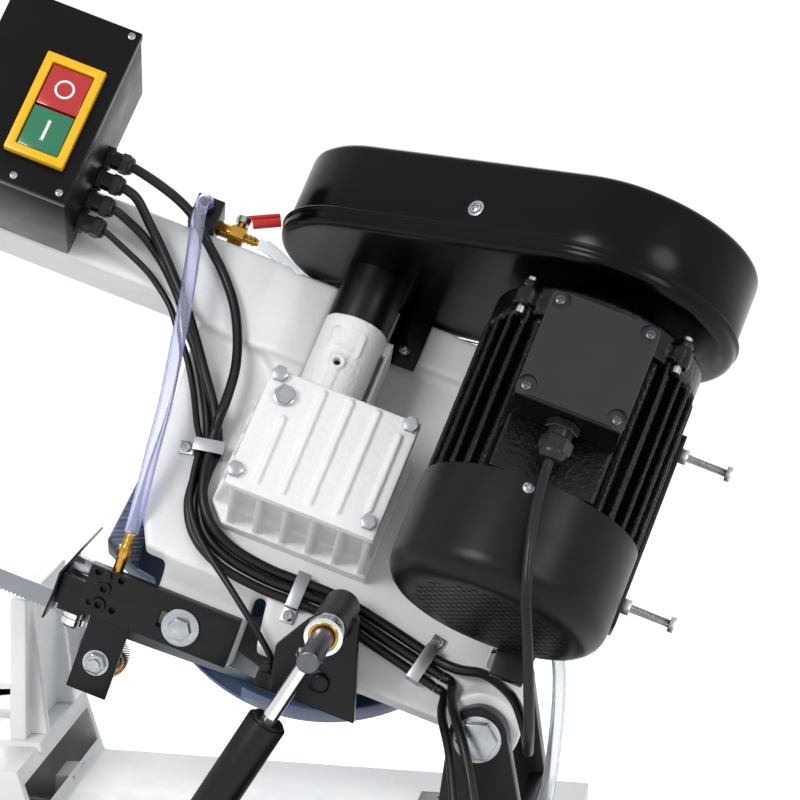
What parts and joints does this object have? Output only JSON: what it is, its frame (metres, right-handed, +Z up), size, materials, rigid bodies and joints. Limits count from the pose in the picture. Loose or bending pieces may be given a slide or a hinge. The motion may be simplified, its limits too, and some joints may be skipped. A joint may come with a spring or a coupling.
{
  "type": "horizontal metal-cutting band saw",
  "caption": "Horizontal metal band saw: canted swing bow with ribbed worm gearbox, finned motor and belt cover, two band wheels, vise bed with coolant tray on a steel stand, feed cylinder.",
  "frame": {"origin": "centre of the outline at floor height, mains lead and plug left out", "axes": "+X towards the idler end of the bow, +Y towards the rear with the motor, +Z up"},
  "size_m": [1.2645, 0.6166, 1.2937],
  "materials": {
    "black_paint": "gloss",
    "tray_paint": "satin",
    "white_paint": "hammered",
    "blue_paint": "satin",
    "black_cover": "gloss",
    "motor_paint": "rough cast",
    "fan_paint": "satin",
    "steel": "ground",
    "wheel_iron": "machined",
    "bronze": "machined",
    "brass": "satin",
    "zinc": "zinc plated",
    "chrome": "polished",
    "aluminium": "satin",
    "cable_rubber": "matte",
    "belt_rubber": "matte",
    "black_plastic": "matte",
    "grey_plastic": "satin",
    "yellow_plastic": "gloss",
    "green_plastic": "gloss",
    "red_plastic": "gloss",
    "blue_hose": "clear",
    "clear_hose": "clear"
  },
  "bodies": {
    "base": {"stand_frame": "black_paint", "chip_tray": "tray_paint", "bed": "white_paint", "fixed_jaw": "white_paint", "pivot_bracket": "black_paint", "pivot_shaft": "steel", "coolant_tank": "tray_paint", "coolant_pump": "black_paint", "mains_lead": "cable_rubber", "mains_plug": "cable_rubber", "pivot_leads": "cable_rubber", "supply_hose": "clear_hose"},
    "vise_jaw": {"movable_jaw": "white_paint"},
    "vise_drive": {"vise_screw": "steel", "vise_handwheel": "black_paint"},
    "length_stop": {"work_stop": "steel"},
    "bow": {"bow_casting": "white_paint", "gearbox_housing": "white_paint", "gearbox_cover": "white_paint", "belt_pan": "black_paint", "drive_belt": "belt_rubber", "blade": "steel", "top_guard": "blue_paint", "motor_housing": "motor_paint", "fan_cover": "fan_paint", "terminal_box": "motor_paint", "terminal_lid": "grey_plastic", "motor_plate": "black_paint", "machine_screws": "zinc", "switch_box": "black_plastic", "switch_lid": "grey_plastic", "switch_frame": "yellow_plastic", "cable_glands": "black_plastic", "bow_cables": "cable_rubber", "cable_clips": "aluminium", "brass_fittings": "brass", "hose_block": "black_plastic", "coolant_hose": "blue_hose", "guide_bracket": "black_paint", "cylinder_arm": "black_paint"},
    "cover": {"belt_cover": "black_cover"},
    "drive": {"drive_wheel": "wheel_iron", "worm_wheel": "bronze"},
    "worm": {"worm_shaft": "steel"},
    "rotor": {"motor_rotor": "steel", "motor_fan": "black_plastic"},
    "tension": {"tension_block": "wheel_iron"},
    "idler": {"idler_wheel": "wheel_iron"},
    "tension_screw": {"tension_knob": "black_paint"},
    "front_door": {"drive_door": "blue_paint"},
    "far_door": {"idler_door": "blue_paint"},
    "start": {"start_button": "green_plastic"},
    "stop": {"stop_button": "red_plastic"},
    "lever": {"valve_lever": "red_plastic"},
    "roller_rear": {"guide_roller_rear": "steel"},
    "roller_front": {"guide_roller_front": "steel"},
    "brush": {"wire_brush": "brass"},
    "slide_guide": {"guide_arm": "black_paint"},
    "piston": {"cylinder_rod": "chrome"},
    "cylinder": {"cylinder_body": "black_paint"}
  },
  "joints": [
    {"name": "bow_pivot", "type": "hinge", "parent": "base", "child": "bow", "pos_m": [-0.41274, 0.03171, 0.67289], "axis": [0, -1, 0], "range_deg": [-18.6, 26.4], "deforming": ["pivot_leads", "supply_hose"]},
    {"name": "drive_spin", "type": "hinge", "parent": "bow", "child": "drive", "pos_m": [-0.24694, -0.06023, 0.79158], "axis": [-0.1751, 0.8358, 0.5203], "continuous": true},
    {"name": "worm_spin", "type": "hinge", "parent": "bow", "child": "worm", "pos_m": [-0.26648, 0.02278, 0.96877], "axis": [-0.2666, -0.549, 0.7922], "continuous": true},
    {"name": "rotor_spin", "type": "hinge", "parent": "bow", "child": "rotor", "pos_m": [-0.46856, 0.12832, 0.92342], "axis": [-0.2666, -0.549, 0.7922], "continuous": true},
    {"name": "tension_slide", "type": "slide", "parent": "bow", "child": "tension", "axis": [0.9478, 0, 0.319], "range_m": [-0.008, 0]},
    {"name": "idler_spin", "type": "hinge", "parent": "tension", "child": "idler", "pos_m": [0.42598, -0.06023, 1.01804], "axis": [-0.1751, 0.8358, 0.5203], "continuous": true},
    {"name": "tension_turn", "type": "hinge", "parent": "bow", "child": "tension_screw", "pos_m": [0.5952, -0.00841, 1.11091], "axis": [0.9478, 0, 0.319], "range_deg": [-5, 1445]},
    {"name": "drive_door_hinge", "type": "hinge", "parent": "bow", "child": "front_door", "pos_m": [-0.27348, -0.11841, 0.9645], "axis": [-0.9478, 0, -0.319], "range_deg": [0, 100]},
    {"name": "idler_door_hinge", "type": "hinge", "parent": "bow", "child": "far_door", "pos_m": [0.34826, -0.11841, 1.17374], "axis": [-0.9478, 0, -0.319], "range_deg": [0, 100]},
    {"name": "cover_lift", "type": "slide", "parent": "bow", "child": "cover", "axis": [-0.2666, -0.549, 0.7922], "range_m": [0, 0.1]},
    {"name": "valve_turn", "type": "hinge", "parent": "bow", "child": "lever", "pos_m": [-0.15416, -0.1013, 1.07711], "axis": [-0.2666, -0.549, 0.7922], "range_deg": [-90, 0]},
    {"name": "start_push", "type": "slide", "parent": "bow", "child": "start", "axis": [0.1751, -0.8358, -0.5203], "range_m": [0, 0.003], "stiffness_N_per_m": 700, "springref_m": -0.001},
    {"name": "stop_push", "type": "slide", "parent": "bow", "child": "stop", "axis": [0.1751, -0.8358, -0.5203], "range_m": [0, 0.003], "stiffness_N_per_m": 700, "springref_m": -0.001},
    {"name": "guide_slide", "type": "slide", "parent": "bow", "child": "slide_guide", "axis": [0.9478, 0, 0.319], "range_m": [-0.02, 0.03]},
    {"name": "roller_rear_spin", "type": "hinge", "parent": "bow", "child": "roller_rear", "pos_m": [-0.02774, 0.03404, 0.72966], "axis": [-0.319, 0, 0.9478], "continuous": true},
    {"name": "roller_front_spin", "type": "hinge", "parent": "bow", "child": "roller_front", "pos_m": [-0.02774, 0.01104, 0.72966], "axis": [-0.319, 0, 0.9478], "continuous": true},
    {"name": "brush_spin", "type": "hinge", "parent": "bow", "child": "brush", "pos_m": [-0.05483, 0.03171, 0.69416], "axis": [0, 1, 0], "continuous": true},
    {"name": "rod_swing", "type": "hinge", "parent": "bow", "child": "piston", "pos_m": [-0.28432, 0.18071, 0.77097], "axis": [0, -1, 0], "range_deg": [-24, 17]},
    {"name": "cylinder_slide", "type": "slide", "parent": "piston", "child": "cylinder", "axis": [0.515, 0, -0.8572], "range_m": [-0.053, 0.075]},
    {"name": "jaw_slide", "type": "slide", "parent": "base", "child": "vise_jaw", "axis": [1, 0, 0], "range_m": [-0.09, 0.08]},
    {"name": "vise_turn", "type": "hinge", "parent": "base", "child": "vise_drive", "pos_m": [0.40226, -0.06329, 0.512], "axis": [1, 0, 0], "range_deg": [-4810, 5410]},
    {"name": "stop_slide", "type": "slide", "parent": "base", "child": "length_stop", "axis": [0, 1, 0], "range_m": [-0.03, 0.1]}
  ],
  "couplings": [
    {"joint": "worm_spin", "follows": "drive_spin", "ratio": 29},
    {"joint": "rotor_spin", "follows": "drive_spin", "ratio": 29},
    {"joint": "idler_spin", "follows": "drive_spin", "ratio": 1},
    {"joint": "tension_turn", "follows": "tension_slide", "rad_per_m": -3141.6},
    {"joint": "vise_turn", "follows": "jaw_slide", "rad_per_m": -1047.2},
    {"joint": "rod_swing", "follows": "bow_pivot", "ratio": -0.9},
    {"joint": "cylinder_slide", "follows": "bow_pivot", "m_per_rad": 0.159}
  ]
}
